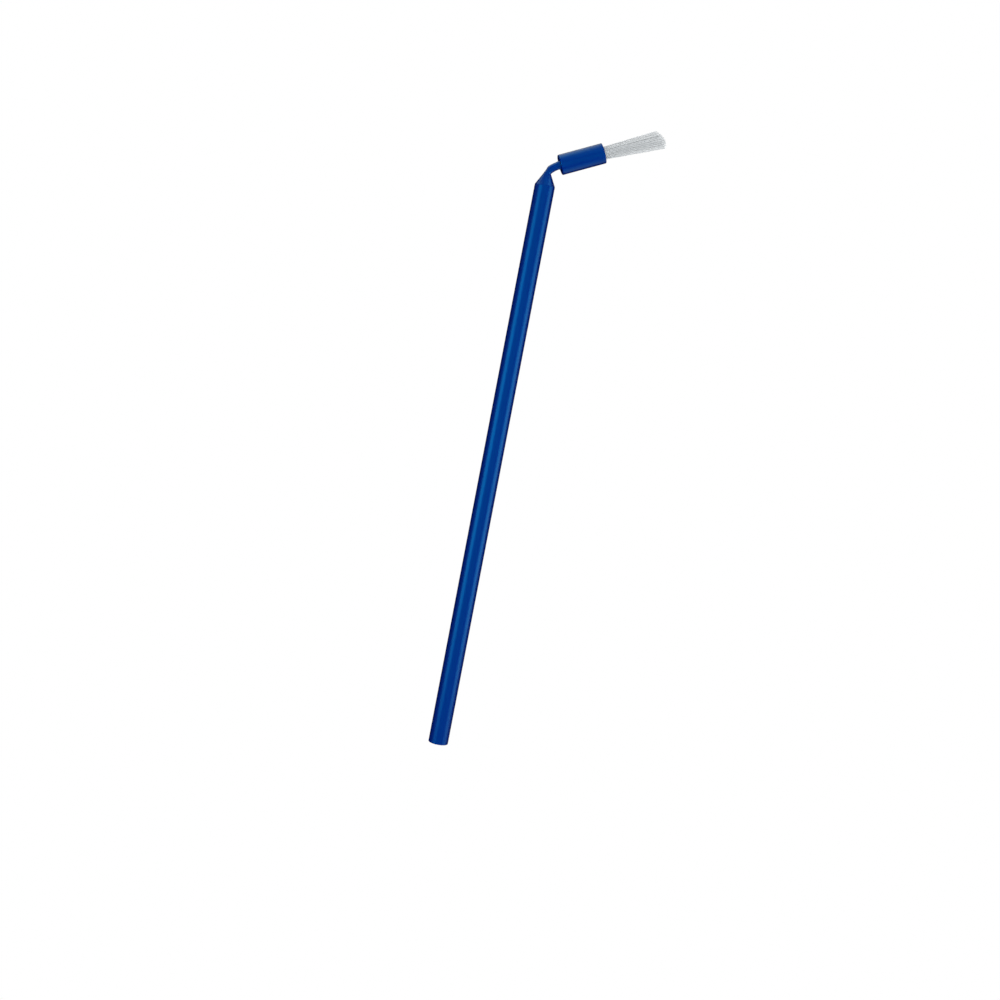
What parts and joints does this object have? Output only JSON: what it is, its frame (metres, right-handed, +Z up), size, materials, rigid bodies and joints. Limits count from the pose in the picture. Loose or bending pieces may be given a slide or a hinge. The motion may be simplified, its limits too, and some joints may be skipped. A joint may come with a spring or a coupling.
{
  "type": "brush applicator",
  "caption": "Disposable dental brush applicator: a slim round plastic bar with a thin bendable neck, a socket head and a flared tuft of clear nylon filaments.",
  "frame": {"origin": "centre of the handle's flat butt face, on the bar's axis; the part lies flat, and rests 1.35 mm below the origin", "axes": "+X along the bar from the butt to the neck, +Z up and square to the plane in which the neck bends; the head points towards -Y"},
  "size_m": [0.0862, 0.0162, 0.0028],
  "materials": {
    "blue_plastic": "satin",
    "clear_nylon": "satin",
    "anchor_wire": "satin"
  },
  "bodies": {
    "handle": {"handle_bar": "blue_plastic"},
    "neck": {"neck": "blue_plastic"},
    "head": {"head": "blue_plastic", "anchor": "anchor_wire", "filament_01": "clear_nylon", "filament_02": "clear_nylon", "filament_03": "clear_nylon", "filament_04": "clear_nylon", "filament_05": "clear_nylon", "filament_06": "clear_nylon", "filament_07": "clear_nylon", "filament_08": "clear_nylon", "filament_09": "clear_nylon", "filament_10": "clear_nylon", "filament_11": "clear_nylon", "filament_12": "clear_nylon", "filament_13": "clear_nylon", "filament_14": "clear_nylon", "filament_15": "clear_nylon", "filament_16": "clear_nylon", "filament_17": "clear_nylon", "filament_18": "clear_nylon", "filament_19": "clear_nylon", "filament_20": "clear_nylon", "filament_21": "clear_nylon", "filament_22": "clear_nylon", "filament_23": "clear_nylon", "filament_24": "clear_nylon", "filament_25": "clear_nylon", "filament_26": "clear_nylon", "filament_27": "clear_nylon", "filament_28": "clear_nylon", "filament_29": "clear_nylon", "filament_30": "clear_nylon", "filament_31": "clear_nylon", "filament_32": "clear_nylon", "filament_33": "clear_nylon", "filament_34": "clear_nylon", "filament_35": "clear_nylon", "filament_36": "clear_nylon", "filament_37": "clear_nylon", "filament_38": "clear_nylon", "filament_39": "clear_nylon", "filament_40": "clear_nylon", "filament_41": "clear_nylon", "filament_42": "clear_nylon", "filament_43": "clear_nylon"}
  },
  "joints": [
    {"name": "neck_root_bend", "type": "hinge", "parent": "handle", "child": "neck", "pos_m": [0.07825, 0, 0], "axis": [0, 0, -1], "range_deg": [-42, 17], "deforming": ["neck"]},
    {"name": "neck_tip_bend", "type": "hinge", "parent": "neck", "child": "head", "pos_m": [0.07904, -0.00071, 0], "axis": [0, 0, -1], "range_deg": [-22, 8.91], "deforming": ["neck"]}
  ],
  "couplings": [
    {"joint": "neck_tip_bend", "follows": "neck_root_bend", "ratio": 0.5238}
  ]
}
